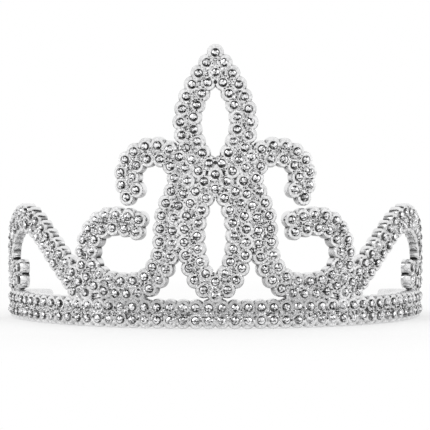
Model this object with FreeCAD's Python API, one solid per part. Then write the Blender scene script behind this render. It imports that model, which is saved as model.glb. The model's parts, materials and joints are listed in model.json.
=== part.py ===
"""Bridal tiara: a scalloped headband with a crest, two scrolls and two side arches.

Every plate lies on one upright cylinder that follows the head.  A plate is drawn flat first, as
rows of round cups in the unrolled plane (x = arc length along the front face from the middle of
the forehead, y = height), and is then wrapped round the head's vertical axis.  A flat-backed
stone is cemented on each cup.

Millimetres.  +Z is up, the forehead faces -Y, and the origin is the middle of the head circle at
the height of the band's lower edge.
"""
import FreeCAD, Part
import math
import os

# ---------------------------------------------------------------- driving dimensions (mm)

FACE_RADIUS = 65.0        # front face of the plates, about the head's vertical axis
PLATE_THICKNESS = 3.0     # every plate, measured radially

STONE_PITCH = 4.0         # stone to stone along a row
ROW_SPACING = 3.9         # row to row across a strand
CUP_LAP = 1.2             # how far one cup runs into the next

STONE_DIAMETER = 2.8      # girdle of a stone
TABLE_DIAMETER = 1.3      # flat top of a stone
GIRDLE_HEIGHT = 0.35      # straight rim of a stone
CROWN_HEIGHT = 0.6        # cone between girdle and table
CEMENT_FILM = 0.04        # between a stone's flat back and its cup
STONE_GAP = 0.1           # least air between two stones
SEAM = 0.02               # between two neighbouring plates, filled when they are joined

SIDE_REACH = 98.0         # last stones of the band, and the arches' rear legs
TAIL_REACH = 138.0        # tip of the plain tail behind the ear
TAIL_ROOT_HEIGHT = 8.0    # tail where it leaves the stones
TAIL_TIP_HEIGHT = 4.0     # tail at its rounded tip

LEAF_HEIGHT = 36.8        # crest's upper loop, from the knot to its apex
LEAF_HALF_WIDTH = 10.7    # its outer row of stones
LOOP_HEIGHT = 36.4        # crest's lower loop, from the band to the knot
LOOP_HALF_WIDTH = 9.4     # its outer row of stones

STEM_STEP = 3.75          # lower loop's outer row to the scroll stem's nearer row
SCROLL_WIDTH = 27.8       # scroll's centre line, from its stem to the outside of its curl
SCROLL_HEIGHT = 41.2      # scroll's centre line, from its lowest to its highest point

ARCH_STEP = 0.5           # scroll's outer row to the middle of the arch's front foot
ARCH_HEIGHT = 21.5        # arch's centre line, above its foot

# ---------------------------------------------------------------- what follows from them

CUP_RADIUS = (max(STONE_PITCH, ROW_SPACING) + CUP_LAP) / 2
BACK_RADIUS = FACE_RADIUS - PLATE_THICKNESS
LOWER_ROW = CUP_RADIUS                       # band's two rows of stones
UPPER_ROW = LOWER_ROW + ROW_SPACING
SEAT_ROW = UPPER_ROW + ROW_SPACING           # lowest stones of what stands on the band
BAND_MIDDLE = (LOWER_ROW + UPPER_ROW) / 2
KNOT_ROW = SEAT_ROW + LOOP_HEIGHT            # topmost stone of the lower loop
STEM_LINE = LOOP_HALF_WIDTH + STEM_STEP + ROW_SPACING / 2
ARCH_FOOT = STEM_LINE + SCROLL_WIDTH + ROW_SPACING / 2 + ARCH_STEP
ARCH_SPAN = SIDE_REACH - ARCH_FOOT
WEB_AREA = STONE_PITCH * ROW_SPACING / 2     # smaller gaps between cups are webbed over
LINE_SAMPLES = 600                           # straight steps that stand for one guide line

# Guide lines, each in shares of its own piece's width and height, from the middle outwards.

LEAF_LINE = [(0, 1), (0.45, 0.84), (0.81, 0.65), (1, 0.43), (0.84, 0.22), (0.48, 0.03)]

LOOP_LINE = [(0, 1), (0.37, 0.942), (0.65, 0.857), (0.84, 0.74), (1, 0.547), (0.957, 0.327),
             (0.7, 0.135), (0.4, 0.045), (0, 0)]

SCROLL_LINE = [(0.406, 0.692), (0.460, 0.784), (0.445, 0.885), (0.306, 0.973), (0.090, 1.000),
               (-0.090, 0.935), (-0.165, 0.823), (-0.112, 0.678), (-0.032, 0.556),
               (0.000, 0.401), (0.014, 0.265), (0.100, 0.125), (0.248, 0.028), (0.428, 0.000),
               (0.626, 0.002), (0.809, 0.033), (0.946, 0.115), (1.000, 0.234), (0.950, 0.355),
               (0.800, 0.459), (0.572, 0.484), (0.333, 0.456)]

ARCH_LINE = [(-0.045, -0.132), (0, 0), (0.080, 0.209), (0.197, 0.464), (0.309, 0.695),
             (0.425, 0.895), (0.545, 1.000), (0.676, 0.986), (0.792, 0.890), (0.882, 0.764),
             (0.959, 0.586), (1.000, 0.359), (0.972, 0.170), (0.906, 0.095), (0.798, 0.125),
             (0.679, 0.187)]


# ---------------------------------------------------------------- rows of cups, drawn flat

def drawn(shares, left, bottom, width, height):
    """A guide line at its real size, as a smooth curve."""
    points = [FreeCAD.Vector(left + x * width, bottom + y * height, 0) for x, y in shares]
    curve = Part.BSplineCurve()
    curve.interpolate(points)
    return curve


def beside(curve, offset):
    """The line that runs beside a curve, `offset` to its left, as closely spaced points."""
    line = []
    for step in range(LINE_SAMPLES + 1):
        at = curve.FirstParameter + (curve.LastParameter - curve.FirstParameter) * step / LINE_SAMPLES
        point = curve.value(at)
        along = curve.getD1(at)[1].normalize()
        line.append((point.x - along.y * offset, point.y + along.x * offset))
    return line


def on_the_band(line):
    """A line that starts on the band's seat row and never dips below it."""
    start = next(i for i, point in enumerate(line) if point[1] >= SEAT_ROW)
    return [(x, max(y, SEAT_ROW)) for x, y in line[start:]]


def right_of_middle(line):
    """The part of a line on the wearer's one side, brought up to the middle plane."""
    kept = [point for point in line if point[0] >= 0]
    if line[0][0] < kept[0][0]:
        kept[0] = (0, kept[0][1])
    if line[-1][0] < kept[-1][0]:
        kept[-1] = (0, kept[-1][1])
    return kept


def spaced(line):
    """Stone centres along a line, evenly spaced, as near to the pitch as the length allows."""
    steps = [math.dist(a, b) for a, b in zip(line, line[1:])]
    count = max(1, round(sum(steps) / STONE_PITCH))
    pitch = sum(steps) / count
    centres = [line[0]]
    walked = 0
    for step, point in zip(steps, line[1:]):
        walked += step
        if walked >= pitch * len(centres) - 1e-6:
            centres.append(point)
    return centres


def mirrored(row):
    return [(-x, y) for x, y in row]


def both_sides(row):
    """A row of half a symmetric piece, with its mirror image; stones in the middle count once."""
    return row + [(-x, y) for x, y in row if x > 0]


def clear_of(row, placed):
    """Where rows meet, a stone that would touch one already placed is left out."""
    least = STONE_DIAMETER + STONE_GAP
    return [c for c in row if all(math.dist(c, other) >= least for other in placed)]


# ---------------------------------------------------------------- flat outlines

def disc(centre, radius):
    return Part.Face(Part.Wire(Part.makeCircle(radius, FreeCAD.Vector(*centre, 0))))


def cups(centres):
    return [disc(centre, CUP_RADIUS) for centre in centres]


def tail(side):
    """The plain tongue that carries the band on behind the ear."""
    tip = TAIL_TIP_HEIGHT / 2
    root = TAIL_ROOT_HEIGHT / 2
    corners = [(SIDE_REACH, -root), (TAIL_REACH - tip, -tip), (TAIL_REACH - tip, tip), (SIDE_REACH, root)]
    points = [FreeCAD.Vector(side * x, BAND_MIDDLE + side * y, 0) for x, y in corners]
    tongue = Part.Face(Part.makePolygon(points + points[:1]))
    return [tongue, disc((side * (TAIL_REACH - tip), BAND_MIDDLE), tip)]


def outline(faces, neighbours):
    """One flat face from overlapping ones, trimmed where it meets its neighbours' cups."""
    flat = faces[0].multiFuse(faces[1:])
    touching = [disc(c, CUP_RADIUS + SEAM) for c in neighbours]
    if touching:
        flat = flat.cut(touching)
    face = max(flat.removeSplitter().Faces, key=lambda each: each.Area)
    windows = [wire for wire in face.Wires
               if not wire.isSame(face.OuterWire) and Part.Face(wire).Area > WEB_AREA]
    return face.OuterWire, windows


# ---------------------------------------------------------------- wrapping round the head

def cylinder(radius):
    """The head cylinder's surface, its seam at the back of the head."""
    surface = Part.Cylinder()
    surface.Radius = radius
    quarter_turn = FreeCAD.Rotation(FreeCAD.Vector(0, 0, 1), 90)
    surface.rotate(FreeCAD.Placement(FreeCAD.Vector(), quarter_turn))
    return surface


def angle(x):
    """Surface angle of an arc length, counted from the seam at the back."""
    return math.pi + x / FACE_RADIUS


def wrapped_edge(edge, surface):
    """A flat line or arc, laid on the surface."""
    first, last = edge.ParameterRange
    if isinstance(edge.Curve, Part.Circle):
        circle = edge.Curve
        x, y, radius = circle.Center.x, circle.Center.y, circle.Radius
        start = circle.value(0) - circle.Center
        turn = math.atan2(start.y, start.x) - math.pi / 2
        high = FreeCAD.Base.Vector2d(angle(x), y + radius)
        aside = FreeCAD.Base.Vector2d(angle(x - radius), y)
        middle = FreeCAD.Base.Vector2d(angle(x), y)
        ellipse = Part.Geom2d.Ellipse2d(high, aside, middle)
        flat = Part.Geom2d.ArcOfEllipse2d(ellipse, first + turn, last + turn)
    else:
        ends = [FreeCAD.Base.Vector2d(angle(p.x), p.y) for p in (edge.valueAt(first), edge.valueAt(last))]
        flat = Part.Geom2d.Line2dSegment(*ends)
    return flat.toShape(surface)


def wrapped_solid(wire):
    """The solid between the front and back cylinders inside one closed flat outline."""
    front = cylinder(FACE_RADIUS)
    back = cylinder(BACK_RADIUS)
    front_edges = [wrapped_edge(edge, front) for edge in wire.OrderedEdges]
    back_edges = [wrapped_edge(edge, back) for edge in wire.OrderedEdges]
    faces = [Part.Face(front, Part.Wire(front_edges)), Part.Face(back, Part.Wire(back_edges))]
    faces += [Part.makeRuledSurface(*pair) for pair in zip(front_edges, back_edges)]
    shell = Part.Shell(faces)
    shell.sewShape()
    solid = Part.Solid(shell)
    if solid.Volume < 0:
        solid.reverse()
    return solid


def plate(faces, neighbours=()):
    outer, windows = outline(faces, neighbours)
    solid = wrapped_solid(outer)
    for window in windows:
        solid = solid.cut(wrapped_solid(window))
    return solid


# ---------------------------------------------------------------- stones

def stone():
    """One flat-backed stone at the origin, its table towards +Z."""
    girdle = STONE_DIAMETER / 2
    table = TABLE_DIAMETER / 2
    height = GIRDLE_HEIGHT + CROWN_HEIGHT
    profile = [(0, 0), (girdle, 0), (girdle, GIRDLE_HEIGHT), (table, height), (0, height), (0, 0)]
    face = Part.Face(Part.makePolygon([FreeCAD.Vector(x, 0, z) for x, z in profile]))
    return face.revolve(FreeCAD.Vector(), FreeCAD.Vector(0, 0, 1), 360)


def stones(row):
    """A stone on each cup of a row, its flat back on the face of the plate."""
    pattern = stone()
    placed = []
    for x, y in row:
        around = x / FACE_RADIUS
        outwards = FreeCAD.Vector(math.sin(around), -math.cos(around), 0)
        back = outwards * (FACE_RADIUS + CEMENT_FILM) + FreeCAD.Vector(0, 0, y)
        turn = FreeCAD.Rotation(FreeCAD.Vector(0, 0, 1), outwards)
        each = pattern.copy()
        each.Placement = FreeCAD.Placement(back, turn)
        placed.append(each)
    return Part.makeCompound(placed)


# ---------------------------------------------------------------- the tiara

def band_rows():
    """The band's two rows, with a gap between stones in the middle, where the crest nests."""
    count = round(SIDE_REACH / STONE_PITCH + 0.5)
    pitch = SIDE_REACH / (count - 0.5)
    return [[((i + 0.5) * pitch, y) for i in range(-count, count)] for y in (UPPER_ROW, LOWER_ROW)]


def loop_rows(shares, bottom, half_width, height):
    """Outer and inner row of a symmetric loop, drawn on one side and mirrored."""
    curve = drawn(shares, 0, bottom, half_width, height)
    lines = [beside(curve, 0), beside(curve, -ROW_SPACING)]
    return [both_sides(spaced(right_of_middle(line))) for line in lines]


def strand_rows(curve):
    """The two rows of a strand, either side of its centre line."""
    return [spaced(on_the_band(beside(curve, side * ROW_SPACING / 2))) for side in (1, -1)]


def build():
    rows = {}
    rows["headband_upper"], rows["headband_lower"] = band_rows()
    rows["lower_loop_outer"], rows["lower_loop_inner"] = loop_rows(
        LOOP_LINE, SEAT_ROW, LOOP_HALF_WIDTH, LOOP_HEIGHT)
    rows["upper_loop_outer"], rows["upper_loop_inner"] = loop_rows(
        LEAF_LINE, KNOT_ROW, LEAF_HALF_WIDTH, LEAF_HEIGHT)
    scroll_line = drawn(SCROLL_LINE, STEM_LINE, SEAT_ROW + ROW_SPACING / 2, SCROLL_WIDTH, SCROLL_HEIGHT)
    arch_line = drawn(ARCH_LINE, ARCH_FOOT, SEAT_ROW, ARCH_SPAN, ARCH_HEIGHT)
    rows["right_scroll_inner"], rows["right_scroll_outer"] = strand_rows(scroll_line)
    rows["right_arch_outer"], rows["right_arch_inner"] = strand_rows(arch_line)

    placed = []
    for name in rows:
        rows[name] = clear_of(rows[name], placed)
        placed += rows[name]
    for name in ("scroll_inner", "scroll_outer", "arch_outer", "arch_inner"):
        rows["left_" + name] = mirrored(rows["right_" + name])

    band = rows["headband_upper"] + rows["headband_lower"]
    lower_loop = rows["lower_loop_outer"] + rows["lower_loop_inner"]
    upper_loop = rows["upper_loop_outer"] + rows["upper_loop_inner"]
    nodes = {}
    nodes["headband"] = plate(cups(band) + tail(1) + tail(-1))
    nodes["crest_lower_loop"] = plate(cups(lower_loop), band)
    nodes["crest_upper_loop"] = plate(cups(upper_loop), lower_loop)
    crest = lower_loop + upper_loop
    for side in ("right", "left"):
        scroll = rows[side + "_scroll_inner"] + rows[side + "_scroll_outer"]
        arch = rows[side + "_arch_inner"] + rows[side + "_arch_outer"]
        nodes[side + "_scroll"] = plate(cups(scroll), band + crest)
        nodes[side + "_side_arch"] = plate(cups(arch), band + scroll)
    for name, row in rows.items():
        nodes[name + "_stones"] = stones(row)
    return nodes


os.makedirs("parts", exist_ok=True)
for node, shape in build().items():
    shape.exportStep("parts/" + node + ".step")
    print(node, len(shape.Solids), "solids", round(shape.Volume, 1), "mm3", shape.isValid())
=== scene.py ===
import json
import math
import random

import bmesh
import bpy
from bpy.props import FloatProperty, FloatVectorProperty, IntProperty, PointerProperty
from mathutils import Matrix, Vector
from mathutils.bvhtree import BVHTree
from mathutils.kdtree import KDTree


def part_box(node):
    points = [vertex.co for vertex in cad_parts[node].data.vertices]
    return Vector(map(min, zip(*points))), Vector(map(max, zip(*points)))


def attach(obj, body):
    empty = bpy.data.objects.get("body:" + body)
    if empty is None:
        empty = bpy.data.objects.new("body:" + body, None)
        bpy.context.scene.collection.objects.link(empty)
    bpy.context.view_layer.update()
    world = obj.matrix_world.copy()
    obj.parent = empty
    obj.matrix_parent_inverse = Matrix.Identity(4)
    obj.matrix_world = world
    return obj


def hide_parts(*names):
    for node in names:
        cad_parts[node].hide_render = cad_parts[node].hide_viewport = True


bl_info = {
    "name": "Bridal tiara",
    "version": (1, 0, 0),
    "blender": (4, 5, 0),
    "location": "3D View > Sidebar > Tiara",
    "description": "Builds a silvered two-row strand tiara with set stones around its packed frame",
    "category": "Object",
}

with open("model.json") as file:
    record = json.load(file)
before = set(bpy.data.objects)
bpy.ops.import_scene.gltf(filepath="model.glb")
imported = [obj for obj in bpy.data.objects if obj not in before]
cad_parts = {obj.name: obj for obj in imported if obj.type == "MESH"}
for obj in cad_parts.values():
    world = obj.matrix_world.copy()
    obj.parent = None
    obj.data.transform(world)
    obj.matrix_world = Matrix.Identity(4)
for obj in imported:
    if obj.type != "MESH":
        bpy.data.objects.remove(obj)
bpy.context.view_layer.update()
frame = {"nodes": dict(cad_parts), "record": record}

MM = 0.001                # the plates are shaped flat in millimetres, then wrapped in metres

# Each plate, with the rows of stones that sit on it.
STRANDS = {
    "headband": ("headband_upper", "headband_lower"),
    "crest_lower_loop": ("lower_loop_outer", "lower_loop_inner"),
    "crest_upper_loop": ("upper_loop_outer", "upper_loop_inner"),
    "right_scroll": ("right_scroll_inner", "right_scroll_outer"),
    "left_scroll": ("left_scroll_inner", "left_scroll_outer"),
    "right_side_arch": ("right_arch_outer", "right_arch_inner"),
    "left_side_arch": ("left_arch_outer", "left_arch_inner"),
}

# Where plates meet, the later one is cut back to clear these plates' cups.
MAKES_WAY_FOR = {
    "headband": (),
    "crest_lower_loop": ("headband",),
    "crest_upper_loop": ("crest_lower_loop",),
    "right_scroll": ("headband", "crest_lower_loop", "crest_upper_loop"),
    "left_scroll": ("headband", "crest_lower_loop", "crest_upper_loop"),
    "right_side_arch": ("headband", "right_scroll"),
    "left_side_arch": ("headband", "left_scroll"),
}

FACE_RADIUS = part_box("headband")[1].x / MM
BACK_RADIUS = frame["record"]["mounts"][0]["dims"]["r_mm"]
THICKNESS = FACE_RADIUS - BACK_RADIUS
LOWER_ROW = sum(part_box("headband_lower_stones"), Vector()).z / 2    # its cups rest on the floor

MERGE_DISTANCE = 1e-6     # metres, for joining the frame's loose triangles

# The rest of these lengths are in millimetres.
SEAM = 0.02               # air between a plate and a neighbour's cups
CUP_SPARE = 0.05          # least air between cups that are joined on in one step
WEB_INSET = 0.12          # how far the webs stay inside the frame's own plate
TIP_ROUNDING = 0.48       # a tail tip's corner radius, as a share of its height
BEND_PITCH = 4.0          # a flat layout is cut this often before it is bent

# Small blind sockets at the knot and at the leaf's tip, as arc length and height.
PINHOLES = (Vector((0, 50.4)), Vector((0, 74.7)))
PINHOLE_RADIUS = 0.62
PINHOLE_DEPTH = 1.5
PINHOLE_SIDES = 10
PINHOLE_MARGIN = 0.02     # for telling a socket's faces from the faces round it

# A bead sits where a second stone is near, and a third is near or the second is very near.
SECOND_STONE_REACH = 3.35
THIRD_STONE_REACH = 3.8
CLOSE_STONE_REACH = 2.45
BEAD_ROW_STEP = 0.87      # from one row of beads to the next, as a share of their pitch
BEAD_SCATTER = 0.12       # how far a bead strays from its place
BEAD_MARGIN = 0.6         # share of a bead's radius that stays clear of a stone
BEAD_LIFT = 0.5           # most that a bead is raised, as a share of its radius
BEAD_SIZES = (0.8, 1.15)  # smallest and largest bead, as shares of its radius
BEAD_BATCH = 60           # beads that are made in one step
LOWEST_BEAD = 1.0         # no bead sits lower than this on a plate

# How a face lies, by the upright part of its normal in the flat layout.
UPRIGHT = 0.2             # a wall has less
FLAT = 0.95               # a front or a back has more

# Painted shade and random tone on the silver, from 0 for bright to 1 for dark: painted shade in
# creases, on walls, webs and sockets and at each grain's edge, random tone on the beads and in soft
# clouds.
BEAD_DEPTHS = (0.0, 0.0, 0.0, 0.25, 0.6, 0.9)
CREASE_ANGLE = 0.5        # radians, for a corner between two cups' walls to count as a crease
CREASE_REACH = 0.95       # how far from a crease its painted shade is felt
CREASE_GAIN = 1.4         # how quickly it builds up towards the crease
SLANT_SHADE = 0.4         # painted shade in a crease, on a cup's slanted edge
WALL_SHADE = 0.08         # least painted shade on any wall or slanted edge
WEB_SHADE = 0.14          # painted shade on the sunk webs
CLOUD_DEPTH = 0.12        # most that the silver's soft clouding adds
GRAIN_SHADE = 0.3         # most painted shade at the edge of a grain, as on tiny domes
DARKEST = 0.06            # share of its colour that a finish keeps where it is darkest

# A stone, as shares of its radius and height.
STONE_SIDES = 7
GIRDLE_HEIGHT = 0.28
STONE_STEPS = ((0.74, 0.36, 0), (0.56, 0.27, 1), (0.4, 0.09, 0))    # width kept, rise, half sides
RING_HEIGHT = 0.55        # facets below this are its outer ring
STONE_LEAN = 0.08         # radians, the most that one leans
STONE_SUNK = 0.04         # how far its flat back lies below the cups' fronts

# Painted reflections on a stone's facets, from 0 for dark to 1 for bright: its outer ring painted
# dark, paler on some stones, its crown facets dark or bright at random.
DARK_RING_REFLECTIONS = (0.0, 0.04, 0.15, 0.32)
PALE_RING_REFLECTIONS = (0.25, 0.45, 0.7)
PALE_RING_SHARE = 0.3     # share of the stones that have the pale ring
CROWN_REFLECTIONS = (0.1, 0.45, 0.75, 1.0, 1.0)

PLATE_SHARP = math.radians(35)    # edges past these angles stay sharp
STONE_SHARP = math.radians(4)

# The stage, in metres, with greys from 0 to 1.
HEART = (0, -0.05, 0.04)  # what the lamps and the top card face
DARK_CARD = 0.02
MIDDLE_CARD = 0.3
PALE_CARD = 0.6
CARD_LIFT = 0.0008        # a card on the floor
RING_LIFT = 0.0006        # a ring on the floor


# ---------------------------------------------------------------- settings

class TiaraSizes(bpy.types.PropertyGroup):
    cup_radius: FloatProperty(
        name="Cup radius", description="Widest radius of one round cup",
        default=LOWER_ROW, unit="LENGTH")
    rim_radius: FloatProperty(
        name="Rim radius", description="Radius of a cup's flat front, inside its slanted edge",
        default=LOWER_ROW - 0.0004, unit="LENGTH")
    rim_depth: FloatProperty(
        name="Rim depth", description="How far down a cup's slanted edge reaches",
        default=0.0007, unit="LENGTH")
    cup_sides: IntProperty(
        name="Cup sides", description="Flats round one cup", default=24)
    web_depth: FloatProperty(
        name="Web depth", description="How far the web between cups lies below their fronts",
        default=0.0006, unit="LENGTH")
    bead_radius: FloatProperty(
        name="Bead radius", description="Radius of the tiny beads between the stones",
        default=0.0003, unit="LENGTH")
    bead_pitch: FloatProperty(
        name="Bead pitch", description="Spacing of the tiny beads between the stones",
        default=0.00062, unit="LENGTH")
    stone_radius: FloatProperty(
        name="Stone radius", description="Radius of one stone at its girdle",
        default=0.00138, unit="LENGTH")
    stone_height: FloatProperty(
        name="Stone height", description="Height of one stone above its flat back",
        default=0.00094, unit="LENGTH")
    tail_root: FloatProperty(
        name="Tail root", description="Height of a tail where it leaves the last cups",
        default=0.008, unit="LENGTH")
    tail_tip: FloatProperty(
        name="Tail tip", description="Height of a tail at its round tip",
        default=0.004, unit="LENGTH")
    tail_ease: FloatProperty(
        name="Tail ease", description="How far a tail's edges are rounded over",
        default=0.0004, unit="LENGTH")


class TiaraFinish(bpy.types.PropertyGroup):
    silver: FloatVectorProperty(
        name="Silver", description="Colour of the metallised plastic",
        default=(0.96, 0.96, 0.965), size=3, subtype="COLOR", min=0, max=1)
    foil: FloatVectorProperty(
        name="Foil", description="Colour of the brightest facets of a stone",
        default=(0.95, 0.95, 0.96), size=3, subtype="COLOR", min=0, max=1)


class TiaraStage(bpy.types.PropertyGroup):
    camera_distance: FloatProperty(
        name="Camera distance", description="From the lens to the front of the tiara",
        default=1.2068, unit="LENGTH")
    camera_elevation: FloatProperty(
        name="Camera elevation", description="How far the camera looks down on the tiara",
        default=math.radians(2.0), subtype="ANGLE")
    camera_lens: FloatProperty(
        name="Lens", description="Focal length in millimetres", default=334.9)
    key_power: FloatProperty(
        name="Key lamp", description="Power of the main soft lamp in watts", default=3.0)
    fill_power: FloatProperty(
        name="Fill lamps", description="Power of each side lamp in watts", default=1.5)


# ---------------------------------------------------------------- where the cups are

def flat_place(point):
    """A point of the frame, as arc length along the face and height, in millimetres."""
    return Vector((math.atan2(point.x, -point.y) * FACE_RADIUS, point.z / MM))


def stone_places(node):
    """The middle of each stone of a frame node, laid flat."""
    bm = bmesh.new()
    bm.from_mesh(frame["nodes"][node].data)
    bmesh.ops.remove_doubles(bm, verts=bm.verts, dist=MERGE_DISTANCE)
    waiting = set(bm.verts)
    places = []
    while waiting:
        reached = [waiting.pop()]
        lowest = highest = reached[0].co
        while reached:
            vert = reached.pop()
            lowest = Vector(map(min, lowest, vert.co))
            highest = Vector(map(max, highest, vert.co))
            for edge in vert.link_edges:
                other = edge.other_vert(vert)
                if other in waiting:
                    waiting.remove(other)
                    reached.append(other)
        places.append(flat_place((lowest + highest) / 2))
    bm.free()
    return sorted(places, key=lambda place: (place.x, place.y))


SEATS = {row: stone_places(row + "_stones") for rows in STRANDS.values() for row in rows}


def seats_of(*plates):
    """The places of all the stones on some plates."""
    return [place for plate in plates for row in STRANDS[plate] for place in SEATS[row]]


# ---------------------------------------------------------------- shaping

def placed(bm, verts, place, height):
    """Moves vertices to a flat place and a height above the back."""
    bmesh.ops.translate(bm, verts=verts, vec=(place.x, place.y, height))


def stepped(bm, face, scale, lift, turn=0.0):
    """Draws a face out into a narrower one above it, and gives back the new face."""
    face = bmesh.ops.extrude_discrete_faces(bm, faces=[face])["faces"][0]
    middle = face.calc_center_median()
    bmesh.ops.scale(bm, verts=face.verts, vec=(scale, scale, 1), space=Matrix.Translation(-middle))
    bmesh.ops.rotate(bm, verts=face.verts, cent=middle, matrix=Matrix.Rotation(turn, 3, "Z"))
    bmesh.ops.translate(bm, verts=face.verts, vec=(0, 0, lift))
    return face


def column(bm, place, low, high, radius, sides):
    """An upright closed cylinder in the flat layout, and its top face."""
    made = bmesh.ops.create_cone(bm, cap_ends=True, segments=sides, radius1=radius, radius2=radius,
                                 depth=high - low)
    placed(bm, made["verts"], place, (low + high) / 2)
    faces = {face for vert in made["verts"] for face in vert.link_faces}
    return max(faces, key=lambda face: face.calc_center_median().z)


def cup(bm, place, sizes):
    """One round cup: an upright wall, a slanted edge and a flat front."""
    radius = sizes.cup_radius / MM
    depth = sizes.rim_depth / MM
    top = column(bm, place, 0, THICKNESS - depth, radius, sizes.cup_sides)
    stepped(bm, top, sizes.rim_radius / sizes.cup_radius, depth)


def clearance(bm, place, sizes):
    """What a cup needs cut away from a plate that meets it: the cup itself, a hair wider."""
    radius = sizes.cup_radius / MM + SEAM
    depth = sizes.rim_depth / MM
    top = column(bm, place, -1, THICKNESS - depth, radius, sizes.cup_sides)
    top = stepped(bm, top, (sizes.rim_radius / MM + SEAM) / radius, depth)
    stepped(bm, top, 1.0, 1)


def apart(places, distance):
    """Sorts places into groups whose members are all further apart than a distance."""
    groups = []
    for place in places:
        for group in groups:
            if all((place - other).length > distance for other in group):
                group.append(place)
                break
        else:
            groups.append([place])
    return groups


def combined(base, other, operation):
    """Joins or cuts two closed meshes, and gives back a bmesh."""
    parts = []
    for bm in (base, other):
        mesh = bpy.data.meshes.new("part")
        bm.to_mesh(mesh)
        bm.free()
        part = bpy.data.objects.new("part", mesh)
        bpy.context.scene.collection.objects.link(part)
        parts.append(part)
    first, second = parts
    step = first.modifiers.new("combine", "BOOLEAN")
    step.operation = operation
    step.solver = "MANIFOLD"
    step.object = second
    bpy.context.view_layer.update()
    evaluated = first.evaluated_get(bpy.context.evaluated_depsgraph_get())
    result = bmesh.new()
    result.from_mesh(evaluated.data)
    for part in parts:
        mesh = part.data
        bpy.data.objects.remove(part)
        bpy.data.meshes.remove(mesh)
    if not result.faces:
        raise RuntimeError("a plate was lost while its cups were being joined")
    return result


def web_core(node, sizes):
    """The frame's own plate laid flat and made a little smaller, to fill the gaps between cups."""
    bm = bmesh.new()
    bm.from_mesh(frame["nodes"][node].data)
    bmesh.ops.remove_doubles(bm, verts=bm.verts, dist=MERGE_DISTANCE)
    front = THICKNESS - sizes.web_depth / MM
    middle_radius = (FACE_RADIUS + BACK_RADIUS) / 2
    for vert in bm.verts:
        place = flat_place(vert.co)
        radius = math.hypot(vert.co.x, vert.co.y) / MM
        vert.co = Vector((place.x, place.y, front if radius > middle_radius else 0))
    bmesh.ops.dissolve_limit(bm, angle_limit=math.radians(0.5), verts=bm.verts, edges=bm.edges)
    bm.normal_update()
    inwards = {}
    for vert in bm.verts:
        walls = [face.normal for face in vert.link_faces if abs(face.normal.z) < 0.5]
        sideways = sum(walls, Vector((0, 0, 0)))
        sideways.z = 0
        inwards[vert] = sideways.normalized() * WEB_INSET if sideways.length > 1e-6 else sideways
    for vert, step in inwards.items():
        vert.co -= step
    return bm


def tail(sizes, side):
    """The plain tongue that carries the band on behind the ear, its edges and its tip rounded."""
    seats = seats_of("headband")
    root = max(place.x for place in seats) - sizes.rim_radius / MM
    turn = math.acos(-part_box("headband")[1].y / MM / FACE_RADIUS)
    tip = turn * FACE_RADIUS
    middle = sum(place.y for place in seats) / len(seats)
    bm = bmesh.new()
    corners = [(root, -sizes.tail_root / 2), (tip, -sizes.tail_tip / 2),
               (tip, sizes.tail_tip / 2), (root, sizes.tail_root / 2)]
    verts = [bm.verts.new((side * x, middle + y / MM, 0)) for x, y in corners]
    face = bm.faces.new(verts)
    drawn = bmesh.ops.extrude_face_region(bm, geom=[face])
    raised = [item for item in drawn["geom"] if isinstance(item, bmesh.types.BMVert)]
    bmesh.ops.translate(bm, verts=raised, vec=(0, 0, THICKNESS))
    corner_edges = [edge for edge in bm.edges
                    if all(abs(vert.co.x - side * tip) < 1e-4 for vert in edge.verts)
                    and abs(edge.verts[0].co.z - edge.verts[1].co.z) > 1]
    bmesh.ops.bevel(bm, geom=corner_edges, offset=TIP_ROUNDING * sizes.tail_tip / MM, segments=8,
                    affect="EDGES", profile=0.5, material=-1)
    bmesh.ops.recalc_face_normals(bm, faces=bm.faces)
    bm.normal_update()
    rims = [edge for edge in bm.edges
            if any(abs(face.normal.z) > 0.9 for face in edge.link_faces)
            and any(abs(face.normal.z) < 0.1 for face in edge.link_faces)]
    bmesh.ops.bevel(bm, geom=rims, offset=sizes.tail_ease / MM, segments=3,
                    affect="EDGES", profile=0.5, material=-1)
    return bm


def plate_mesh(plate, sizes):
    """A plate laid flat: its cups joined, its gaps webbed over, cut back from its neighbours."""
    whole = web_core(plate, sizes)
    spacing = 2 * sizes.cup_radius / MM + CUP_SPARE
    for group in apart(seats_of(plate), spacing):
        cups = bmesh.new()
        for place in group:
            cup(cups, place, sizes)
        whole = combined(whole, cups, "UNION")
    if plate == "headband":
        for side in (1, -1):
            whole = combined(whole, tail(sizes, side), "UNION")
    if plate.startswith("crest"):
        drills = bmesh.new()
        for place in PINHOLES:
            column(drills, place, THICKNESS - PINHOLE_DEPTH, THICKNESS + 1, PINHOLE_RADIUS,
                   PINHOLE_SIDES)
        whole = combined(whole, drills, "DIFFERENCE")
    reach = 2 * sizes.cup_radius / MM + 1
    own = seats_of(plate)
    meeting = [place for place in seats_of(*MAKES_WAY_FOR[plate])
               if any((place - mine).length < reach for mine in own)]
    for group in apart(meeting, spacing + 2 * CUP_SPARE):
        cutters = bmesh.new()
        for place in group:
            clearance(cutters, place, sizes)
        whole = combined(whole, cutters, "DIFFERENCE")
    return without_crumbs(whole)


def without_crumbs(bm):
    """Keeps the one large shell and drops any sliver that the cuts left loose."""
    waiting = set(bm.faces)
    shells = []
    while waiting:
        shell = []
        reached = [waiting.pop()]
        while reached:
            face = reached.pop()
            shell.append(face)
            for edge in face.edges:
                for other in edge.link_faces:
                    if other in waiting:
                        waiting.remove(other)
                        reached.append(other)
        shells.append(shell)
    shells.sort(key=len)
    crumbs = [face for shell in shells[:-1] for face in shell]
    bmesh.ops.delete(bm, geom=crumbs, context="FACES")
    return bm


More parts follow.
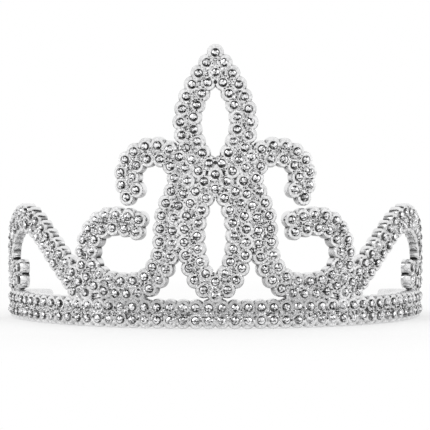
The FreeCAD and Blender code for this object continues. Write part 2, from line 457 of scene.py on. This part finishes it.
def pip(bm, place, height, radius, draw):
    """A tiny many-sided bead, turned at random, and its faces."""
    made = bmesh.ops.create_icosphere(bm, subdivisions=1, radius=radius)
    turn = (Matrix.Rotation(draw.uniform(0, math.tau), 3, "Z")
            @ Matrix.Rotation(draw.uniform(0, 1), 3, "X"))
    bmesh.ops.rotate(bm, verts=made["verts"], cent=(0, 0, 0), matrix=turn)
    placed(bm, made["verts"], place, height)
    return {face for vert in made["verts"] for face in vert.link_faces}


def tree_of(places):
    """A tree of flat places, for finding the nearest ones."""
    tree = KDTree(len(places))
    for index, place in enumerate(places):
        tree.insert((place.x, place.y, 0), index)
    tree.balance()
    return tree


def bead_field(plate, sizes, draw):
    """Where the tiny beads sit: all over a plate between its stones, but not on its outer rim."""
    own = seats_of(plate)
    own_tree = tree_of(own)
    every_tree = tree_of([place for name in STRANDS for place in seats_of(name)])
    pitch = sizes.bead_pitch / MM
    bead_radius = sizes.bead_radius / MM
    clear = sizes.stone_radius / MM + bead_radius * BEAD_MARGIN
    low = Vector((min(place.x for place in own), min(place.y for place in own)))
    high = Vector((max(place.x for place in own), max(place.y for place in own)))
    field = []
    for row in range(int((high.y - low.y) / (pitch * BEAD_ROW_STEP)) + 1):
        for step in range(int((high.x - low.x) / pitch) + 1):
            spot = low + Vector(((step + 0.5 * (row % 2)) * pitch, row * pitch * BEAD_ROW_STEP))
            spot += Vector((draw.uniform(-BEAD_SCATTER, BEAD_SCATTER),
                            draw.uniform(-BEAD_SCATTER, BEAD_SCATTER)))
            flat = (spot.x, spot.y, 0)
            nearest, second, third = (found[2] for found in every_tree.find_n(flat, 3))
            if own_tree.find(flat)[2] > nearest + 1e-4 or nearest < clear:
                continue
            if any((spot - place).length < PINHOLE_RADIUS + bead_radius for place in PINHOLES):
                continue
            if second < SECOND_STONE_REACH and (
                    third < THIRD_STONE_REACH or second < CLOSE_STONE_REACH):
                field.append(spot)
    return field


def add_beads(bm, plate, sizes, draw):
    """The field of tiny beads, each half sunk in the surface below it, made in small batches."""
    surface = BVHTree.FromBMesh(bm)
    radius = sizes.bead_radius / MM
    seated = []
    for spot in bead_field(plate, sizes, draw):
        hit = surface.ray_cast(Vector((spot.x, spot.y, THICKNESS + 5)), Vector((0, 0, -1)))[0]
        if hit is not None and hit.z > LOWEST_BEAD:
            seated.append((spot, hit.z))
    for start in range(0, len(seated), BEAD_BATCH):
        batch = bmesh.new()
        painted_shade_and_tone = batch.loops.layers.float.new("painted_shade_and_tone")
        for spot, height in seated[start:start + BEAD_BATCH]:
            faces = pip(batch, spot, height + radius * draw.uniform(0.0, BEAD_LIFT),
                        radius * draw.uniform(*BEAD_SIZES), draw)
            depth = draw.choice(BEAD_DEPTHS)
            for face in faces:
                for loop in face.loops:
                    loop[painted_shade_and_tone] = depth
        mesh = bpy.data.meshes.new("beads")
        batch.to_mesh(mesh)
        batch.free()
        bm.from_mesh(mesh)
        bpy.data.meshes.remove(mesh)


def mark_surface(bm, painted_shade_and_tone, pebble_shade, sizes):
    """Marks painted shade in creases, on walls, on webs and in sockets, and marks the fronts that
    get painted shade at the edges of their grains.
    """
    bm.normal_update()
    web = THICKNESS - sizes.web_depth / MM
    creases = []
    for edge in bm.edges:
        if len(edge.link_faces) != 2 or edge.is_convex:
            continue
        if edge.calc_face_angle() > CREASE_ANGLE:
            if all(abs(face.normal.z) < UPRIGHT for face in edge.link_faces):
                creases.append(edge.verts[0].co.xy)
    crease_tree = tree_of(creases)
    for face in bm.faces:
        middle = face.calc_center_median()
        in_pinhole = any((middle.xy - place).length < PINHOLE_RADIUS + PINHOLE_MARGIN
                         for place in PINHOLES)
        # Painted shade: a socket's inside is painted dark.
        if in_pinhole and middle.z < THICKNESS - 0.1 and middle.z > 0.1:
            for loop in face.loops:
                loop[painted_shade_and_tone] = 1.0
        elif abs(face.normal.z) < FLAT:
            # Painted shade on walls and slanted edges, darkest at a crease between two cups.
            for loop in face.loops:
                gap = crease_tree.find((loop.vert.co.x, loop.vert.co.y, 0))[2]
                depth = 1.0 if abs(face.normal.z) < UPRIGHT else SLANT_SHADE
                near = min(1.0, CREASE_GAIN * (1.0 - gap / CREASE_REACH))
                loop[painted_shade_and_tone] = max(WALL_SHADE, depth * near)
        elif face.normal.z > FLAT:
            # Painted shade on the sunk webs; the fronts are marked for the painted shade of their
            # grain.
            sunk = abs(middle.z - web) < 0.01
            for loop in face.loops:
                loop[painted_shade_and_tone] = WEB_SHADE if sunk else 0.0
                loop[pebble_shade] = 1.0


def wrapped(bm):
    """Bends a flat layout round the head, and turns it from millimetres to metres."""
    reach = max(abs(vert.co.x) for vert in bm.verts)
    count = int(reach / BEND_PITCH)
    for index in range(-count, count + 1):
        everything = bm.verts[:] + bm.edges[:] + bm.faces[:]
        bmesh.ops.bisect_plane(bm, geom=everything, dist=1e-4,
                               plane_co=(index * BEND_PITCH, 0, 0), plane_no=(1, 0, 0))
    for vert in bm.verts:
        turn = vert.co.x / FACE_RADIUS
        radius = BACK_RADIUS + vert.co.z
        vert.co = Vector((radius * math.sin(turn), -radius * math.cos(turn), vert.co.y)) * MM


def piece(bm, name, sharp, slot, material, *nodes):
    """Makes a finished piece of a bmesh: smooth but for its sharp edges, riding on the frame."""
    bm.normal_update()
    for face in bm.faces:
        face.smooth = True
    for edge in bm.edges:
        edge.smooth = edge.calc_face_angle(math.pi) < sharp
    mesh = bpy.data.meshes.new(name)
    bm.to_mesh(mesh)
    bm.free()
    mesh.materials.append(material)
    made = bpy.data.objects.new(name, mesh)
    bpy.context.scene.collection.objects.link(made)
    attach(made, "root")
    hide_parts(*nodes)
    return made


def make_plate(plate, name):
    """Makes the piece that stands for one plate of the frame."""
    sizes = bpy.context.scene.tiara_sizes
    bm = plate_mesh(plate, sizes)
    # Layers for painted shade in creases, on walls, webs and sockets, with the beads' random tone,
    # and for where the fronts' grain gets painted shade.
    painted_shade_and_tone = bm.loops.layers.float.new("painted_shade_and_tone")
    pebble_shade = bm.loops.layers.float.new("pebble_shade")
    mark_surface(bm, painted_shade_and_tone, pebble_shade, sizes)
    add_beads(bm, plate, sizes, random.Random(plate))
    wrapped(bm)
    return piece(bm, name, PLATE_SHARP, "silvered_plastic", silver_finish(), plate)


# ---------------------------------------------------------------- stones

def stone_mesh(sizes):
    """One flat-backed faceted stone at the origin, its table towards +Z, in millimetres."""
    radius = sizes.stone_radius / MM
    height = sizes.stone_height / MM
    bm = bmesh.new()
    top = column(bm, Vector((0, 0)), 0, GIRDLE_HEIGHT * height, radius, 2 * STONE_SIDES)
    for width, rise, turns in STONE_STEPS:
        top = stepped(bm, top, width, rise * height, turns * math.pi / STONE_SIDES)
    ring = bm.faces.layers.int.new("ring")
    for face in bm.faces:
        face[ring] = face.calc_center_median().z < RING_HEIGHT * height
    return bm


def set_stones(row, name):
    """Makes the piece that stands for one row of stones, each turned and leaning its own way."""
    draw = random.Random(row)
    pattern = bpy.data.meshes.new("stone")
    stone = stone_mesh(bpy.context.scene.tiara_sizes)
    stone.to_mesh(pattern)
    stone.free()
    bm = bmesh.new()
    for place in SEATS[row]:
        before = len(bm.verts)
        bm.from_mesh(pattern)
        bm.verts.ensure_lookup_table()
        verts = bm.verts[before:]
        around = place.x / FACE_RADIUS
        outwards = Vector((math.sin(around), -math.cos(around), 0))
        along = Vector((math.cos(around), math.sin(around), 0))
        basis = Matrix((along, Vector((0, 0, 1)), outwards)).transposed()
        spin = Matrix.Rotation(draw.uniform(0, math.tau), 3, "Z")
        lean = (Matrix.Rotation(draw.uniform(-STONE_LEAN, STONE_LEAN), 3, "X")
                @ Matrix.Rotation(draw.uniform(-STONE_LEAN, STONE_LEAN), 3, "Y"))
        bmesh.ops.rotate(bm, verts=verts, cent=(0, 0, 0), matrix=basis @ lean @ spin)
        back = outwards * (FACE_RADIUS - STONE_SUNK) + Vector((0, 0, place.y))
        bmesh.ops.translate(bm, verts=verts, vec=back)
    bpy.data.meshes.remove(pattern)
    bmesh.ops.scale(bm, verts=bm.verts, vec=(MM, MM, MM))
    painted_reflection = bm.faces.layers.float.new("painted_facet_reflection")
    ring = bm.faces.layers.int["ring"]
    per_stone = len(bm.faces) // len(SEATS[row])
    # Painted reflections: each stone's outer ring facets are painted dark, paler on some stones,
    # and its crown facets dark or bright at random.
    for index, face in enumerate(bm.faces):
        if index % per_stone == 0:
            ring_reflections = PALE_RING_REFLECTIONS if draw.random() < PALE_RING_SHARE else DARK_RING_REFLECTIONS
        face[painted_reflection] = draw.choice(ring_reflections if face[ring] else CROWN_REFLECTIONS)
    return piece(bm, name, STONE_SHARP, "foiled_stone", foil_finish(), row + "_stones")


# ---------------------------------------------------------------- finishes

def new_finish(name):
    """A fresh node material, with its shader and a coordinate node."""
    material = bpy.data.materials.new(name)
    material.use_nodes = True
    nodes = material.node_tree.nodes
    shader = nodes["Principled BSDF"]
    place = nodes.new("ShaderNodeTexCoord")
    return material, nodes, material.node_tree.links, shader, place


def noise(nodes, links, place, scale):
    """Soft noise on the object's own coordinates, mostly from 0.3 to 0.7."""
    node = nodes.new("ShaderNodeTexNoise")
    node.inputs["Scale"].default_value = scale
    node.inputs["Detail"].default_value = 2.0
    links.new(place.outputs["Object"], node.inputs["Vector"])
    return node.outputs["Fac"]


def pebbles(nodes, links, place, scale):
    """Rounded grains, 0 at a grain's middle and rising to its edge."""
    node = nodes.new("ShaderNodeTexVoronoi")
    node.inputs["Scale"].default_value = scale
    links.new(place.outputs["Object"], node.inputs["Vector"])
    return node.outputs["Distance"]


def ranged(nodes, links, value, low, high, to_low, to_high):
    """Stretches a value from one range onto another."""
    node = nodes.new("ShaderNodeMapRange")
    for name, number in (("From Min", low), ("From Max", high),
                         ("To Min", to_low), ("To Max", to_high)):
        node.inputs[name].default_value = number
    links.new(value, node.inputs["Value"])
    return node.outputs["Result"]


def combined_value(nodes, links, operation, first, second):
    """Adds or multiplies two values, and keeps the result between 0 and 1."""
    node = nodes.new("ShaderNodeMath")
    node.operation = operation
    node.use_clamp = True
    links.new(first, node.inputs[0])
    links.new(second, node.inputs[1])
    return node.outputs[0]


def marked(nodes, name):
    """What the mesh says at each point, under an attribute's name."""
    node = nodes.new("ShaderNodeAttribute")
    node.attribute_name = name
    return node.outputs["Fac"]


def roughened(nodes, links, place, shader, scale, smoothest, roughest):
    """Lets a finish's roughness wander between two values."""
    unevenness = noise(nodes, links, place, scale)
    links.new(ranged(nodes, links, unevenness, 0.3, 0.7, smoothest, roughest),
              shader.inputs["Roughness"])


def bumped(nodes, links, place, shader, scale, strength, distance):
    """Gives a finish a fine unevenness."""
    bump = nodes.new("ShaderNodeBump")
    bump.inputs["Strength"].default_value = strength
    bump.inputs["Distance"].default_value = distance
    links.new(noise(nodes, links, place, scale), bump.inputs["Height"])
    links.new(bump.outputs["Normal"], shader.inputs["Normal"])


def blended(nodes, links, value, first, second):
    """A colour that goes from the first to the second as a value goes from 0 to 1."""
    node = nodes.new("ShaderNodeMix")
    node.data_type = "RGBA"
    node.inputs["A"].default_value = (*first, 1)
    node.inputs["B"].default_value = (*second, 1)
    links.new(value, node.inputs["Factor"])
    return node.outputs["Result"]


def silver_finish():
    """Vacuum-metallised plastic: satin silver, with painted shade in its creases, on its walls,
    webs and sockets and at the edges of the grain on its fronts, and random clouding.
    """
    name = "silvered plastic"
    if name in bpy.data.materials:
        return bpy.data.materials[name]
    silver = Vector(bpy.context.scene.tiara_finish.silver)
    material, nodes, links, shader, place = new_finish(name)
    cloud = ranged(nodes, links, noise(nodes, links, place, 140), 0.3, 0.7, 0.0, CLOUD_DEPTH)
    # Painted shade at the edge of each grain, as on tiny domes.
    grain = ranged(nodes, links, pebbles(nodes, links, place, 1500), 0.3, 0.8, 0.0, GRAIN_SHADE)
    # Painted shade from the mesh, with the beads' random tone and random clouding, darkens the
    # silver.
    shade_and_cloud_tone = combined_value(nodes, links, "ADD", marked(nodes, "painted_shade_and_tone"), cloud)
    pebble_shade = combined_value(nodes, links, "MULTIPLY", marked(nodes, "pebble_shade"), grain)
    shade_and_tone_total = combined_value(nodes, links, "ADD", shade_and_cloud_tone, pebble_shade)
    links.new(blended(nodes, links, shade_and_tone_total, silver, silver * DARKEST), shader.inputs["Base Color"])
    shader.inputs["Metallic"].default_value = 1.0
    roughened(nodes, links, place, shader, 700, 0.16, 0.28)
    bumped(nodes, links, place, shader, 1800, 0.25, 0.00004)
    return material


def foil_finish():
    """Faceted acrylic over mirror foil, each facet with a painted reflection from dark to bright.
    """
    name = "foiled stone"
    if name in bpy.data.materials:
        return bpy.data.materials[name]
    foil = Vector(bpy.context.scene.tiara_finish.foil)
    material, nodes, links, shader, place = new_finish(name)
    links.new(blended(nodes, links, marked(nodes, "painted_facet_reflection"), foil * DARKEST, foil),
              shader.inputs["Base Color"])
    shader.inputs["Metallic"].default_value = 1.0
    shader.inputs["Coat Weight"].default_value = 0.4
    shader.inputs["Coat Roughness"].default_value = 0.05
    roughened(nodes, links, place, shader, 900, 0.05, 0.14)
    bumped(nodes, links, place, shader, 2500, 0.1, 0.00002)
    return material


# ---------------------------------------------------------------- stage

def seen_directly(nodes, links):
    """1 for what the camera, a mirror or glass sees, and 0 for what only lights the tiara."""
    path = nodes.new("ShaderNodeLightPath")
    total = path.outputs["Is Camera Ray"]
    for other in ("Is Glossy Ray", "Is Transmission Ray"):
        total = combined_value(nodes, links, "ADD", total, path.outputs[other])
    return total


def staged(bm, name, material):
    """Makes an object of a bmesh that belongs to the stage and not to the tiara."""
    mesh = bpy.data.meshes.new(name)
    bm.to_mesh(mesh)
    bm.free()
    mesh.materials.append(material)
    made = bpy.data.objects.new(name, mesh)
    bpy.context.scene.collection.objects.link(made)
    return made


def backdrop_light():
    """A white surround, dimmer where it only lights the tiara."""
    world = bpy.data.worlds.new("studio")
    bpy.context.scene.world = world
    world.use_nodes = True
    nodes = world.node_tree.nodes
    links = world.node_tree.links
    background = nodes["Background"]
    background.inputs["Color"].default_value = (1, 1, 1, 1)
    links.new(ranged(nodes, links, seen_directly(nodes, links), 0, 1, 0.9, 1.0),
              background.inputs["Strength"])


def floor():
    """A pale floor that keeps the tiara's shadow near it and turns white further out."""
    bm = bmesh.new()
    bmesh.ops.create_circle(bm, cap_ends=True, segments=64, radius=3.0)
    material, nodes, links, shader, place = new_finish("pale floor")
    links.new(blended(nodes, links, noise(nodes, links, place, 3), (0.93, 0.93, 0.93),
                      (0.95, 0.95, 0.95)), shader.inputs["Base Color"])
    shader.inputs["Roughness"].default_value = 0.9
    shader.inputs["Specular IOR Level"].default_value = 0.1
    away = nodes.new("ShaderNodeVectorMath")
    away.operation = "LENGTH"
    links.new(place.outputs["Object"], away.inputs[0])
    glow = nodes.new("ShaderNodeEmission")
    fade = ranged(nodes, links, away.outputs["Value"], 0.08, 0.2, 0.5, 1.0)
    both = nodes.new("ShaderNodeMixShader")
    links.new(combined_value(nodes, links, "MULTIPLY", fade, seen_directly(nodes, links)),
              both.inputs["Fac"])
    links.new(shader.outputs["BSDF"], both.inputs[1])
    links.new(glow.outputs["Emission"], both.inputs[2])
    links.new(both.outputs["Shader"], nodes["Material Output"].inputs["Surface"])
    staged(bm, "floor", material)


def reflected_only(name, bm, grey):
    """Makes a plain studio card of a bmesh, which only shows in reflections."""
    material, _, _, shader, _ = new_finish(name)
    shader.inputs["Base Color"].default_value = (grey, grey, grey, 1)
    shader.inputs["Roughness"].default_value = 0.9
    made = staged(bm, name, material)
    made.visible_camera = False
    made.visible_diffuse = False
    made.visible_shadow = False
    made.visible_transmission = False


def card(name, place, target, width, height, grey):
    """A flat oblong card that faces a target."""
    bm = bmesh.new()
    bmesh.ops.create_grid(bm, x_segments=1, y_segments=1, size=0.5)
    bmesh.ops.scale(bm, verts=bm.verts, vec=(width, height, 1))
    place = Vector(place)
    turn = (Vector(target) - place).to_track_quat("Z", "Y").to_matrix()
    bmesh.ops.rotate(bm, verts=bm.verts, cent=(0, 0, 0), matrix=turn)
    bmesh.ops.translate(bm, verts=bm.verts, vec=place)
    reflected_only(name, bm, grey)


def ring_card(name, inner, outer, grey):
    """A flat ring on the floor, round the middle of the tiara."""
    bm = bmesh.new()
    loops = [bmesh.ops.create_circle(bm, segments=96, radius=radius)["verts"]
             for radius in (inner, outer)]
    edges = {edge for verts in loops for vert in verts for edge in vert.link_edges}
    bmesh.ops.bridge_loops(bm, edges=list(edges))
    bmesh.ops.translate(bm, verts=bm.verts, vec=(0, 0, RING_LIFT))
    reflected_only(name, bm, grey)


def cards():
    """Gives the silver its darker reflections, in front, round the foot, above and behind."""
    card("apron card", (0, -0.118, CARD_LIFT), (0, -0.118, 1), 0.36, 0.064, DARK_CARD)
    ring_card("foot ring card", 0.0686, 0.071, DARK_CARD)
    card("top card", (0, -0.24, 0.6), HEART, 1.0, 0.34, DARK_CARD)
    card("rear apron card", (0, 0.26, CARD_LIFT), (0, 0.26, 1), 0.44, 0.26, MIDDLE_CARD)
    ring_card("inside card", 0.002, 0.058, PALE_CARD)


def lamp(name, place, size, power):
    """A square soft lamp that faces the tiara."""
    data = bpy.data.lights.new(name, "AREA")
    data.shape = "SQUARE"
    data.size = size
    data.energy = power
    made = bpy.data.objects.new(name, data)
    made.location = place
    made.rotation_mode = "QUATERNION"
    made.rotation_quaternion = (Vector(HEART) - Vector(place)).to_track_quat("-Z", "Y")
    bpy.context.scene.collection.objects.link(made)


def camera(stage):
    """Looks at the front of the tiara from a little above it."""
    front = Vector((-0.00012, -FACE_RADIUS * MM, LOWER_ROW + 0.0392))
    back = Vector((0, -math.cos(stage.camera_elevation), math.sin(stage.camera_elevation)))
    data = bpy.data.cameras.new("camera")
    data.lens = stage.camera_lens
    data.sensor_width = 36.0
    data.clip_start = 0.01
    data.clip_end = 50
    made = bpy.data.objects.new("camera", data)
    made.location = front + back * stage.camera_distance
    aim = front - Vector((0, 0, 0.0072))
    made.rotation_mode = "QUATERNION"
    made.rotation_quaternion = (aim - made.location).to_track_quat("-Z", "Y")
    bpy.context.scene.collection.objects.link(made)
    bpy.context.scene.camera = made


# ---------------------------------------------------------------- operators

class TIARA_OT_headband(bpy.types.Operator):
    """Makes the two-row headband with its plain tails"""
    bl_idname = "tiara.headband"
    bl_label = "Headband"

    def execute(self, context):
        make_plate("headband", "silvered_headband")
        return {"FINISHED"}


class TIARA_OT_crest(bpy.types.Operator):
    """Makes the two crossing loops of the crest"""
    bl_idname = "tiara.crest"
    bl_label = "Crest loops"

    def execute(self, context):
        make_plate("crest_lower_loop", "silvered_lower_loop")
        make_plate("crest_upper_loop", "silvered_upper_loop")
        return {"FINISHED"}


class TIARA_OT_scrolls(bpy.types.Operator):
    """Makes the scroll on each side of the crest"""
    bl_idname = "tiara.scrolls"
    bl_label = "Scrolls"

    def execute(self, context):
        make_plate("right_scroll", "silvered_right_scroll")
        make_plate("left_scroll", "silvered_left_scroll")
        return {"FINISHED"}


class TIARA_OT_side_arches(bpy.types.Operator):
    """Makes the arch on each side of the band"""
    bl_idname = "tiara.side_arches"
    bl_label = "Side arches"

    def execute(self, context):
        make_plate("right_side_arch", "silvered_right_arch")
        make_plate("left_side_arch", "silvered_left_arch")
        return {"FINISHED"}


class TIARA_OT_stones(bpy.types.Operator):
    """Sets a faceted stone on every cup, row by row"""
    bl_idname = "tiara.stones"
    bl_label = "Set stones"

    def execute(self, context):
        for row in SEATS:
            set_stones(row, "set_" + row)
        return {"FINISHED"}


class TIARA_OT_stage(bpy.types.Operator):
    """Sets up the camera, the surround, the floor, the lamps and the reflected cards"""
    bl_idname = "tiara.stage"
    bl_label = "Stage"

    def execute(self, context):
        stage = context.scene.tiara_stage
        context.scene.view_settings.view_transform = "Standard"
        camera(stage)
        backdrop_light()
        floor()
        lamp("key", (-0.5, -0.9, 1.1), 0.7, stage.key_power)
        lamp("left fill", (-1.1, -0.5, 0.4), 0.6, stage.fill_power)
        lamp("right fill", (1.1, -0.5, 0.4), 0.6, stage.fill_power)
        cards()
        return {"FINISHED"}


class TIARA_PT_panel(bpy.types.Panel):
    """Lists the tiara's pieces, in the order they are made"""
    bl_label = "Bridal tiara"
    bl_idname = "TIARA_PT_panel"
    bl_space_type = "VIEW_3D"
    bl_region_type = "UI"
    bl_category = "Tiara"

    def draw(self, context):
        scene = context.scene
        for group in (scene.tiara_sizes, scene.tiara_finish, scene.tiara_stage):
            box = self.layout.box()
            for name in group.bl_rna.properties.keys():
                if name not in ("rna_type", "name"):
                    box.prop(group, name)
        for operator in OPERATORS:
            self.layout.operator(operator.bl_idname)


OPERATORS = (TIARA_OT_headband, TIARA_OT_crest, TIARA_OT_scrolls, TIARA_OT_side_arches,
             TIARA_OT_stones, TIARA_OT_stage)
CLASSES = (TiaraSizes, TiaraFinish, TiaraStage, *OPERATORS, TIARA_PT_panel)


def register():
    for each in CLASSES:
        bpy.utils.register_class(each)
    bpy.types.Scene.tiara_sizes = PointerProperty(type=TiaraSizes)
    bpy.types.Scene.tiara_finish = PointerProperty(type=TiaraFinish)
    bpy.types.Scene.tiara_stage = PointerProperty(type=TiaraStage)


def unregister():
    del bpy.types.Scene.tiara_stage
    del bpy.types.Scene.tiara_finish
    del bpy.types.Scene.tiara_sizes
    for each in reversed(CLASSES):
        bpy.utils.unregister_class(each)


def main():
    """Builds the tiara and its stage."""
    register()
    bpy.ops.tiara.headband()
    bpy.ops.tiara.crest()
    bpy.ops.tiara.scrolls()
    bpy.ops.tiara.side_arches()
    bpy.ops.tiara.stones()
    bpy.ops.tiara.stage()
    bpy.context.view_layer.update()


if __name__ == "__main__":
    main()
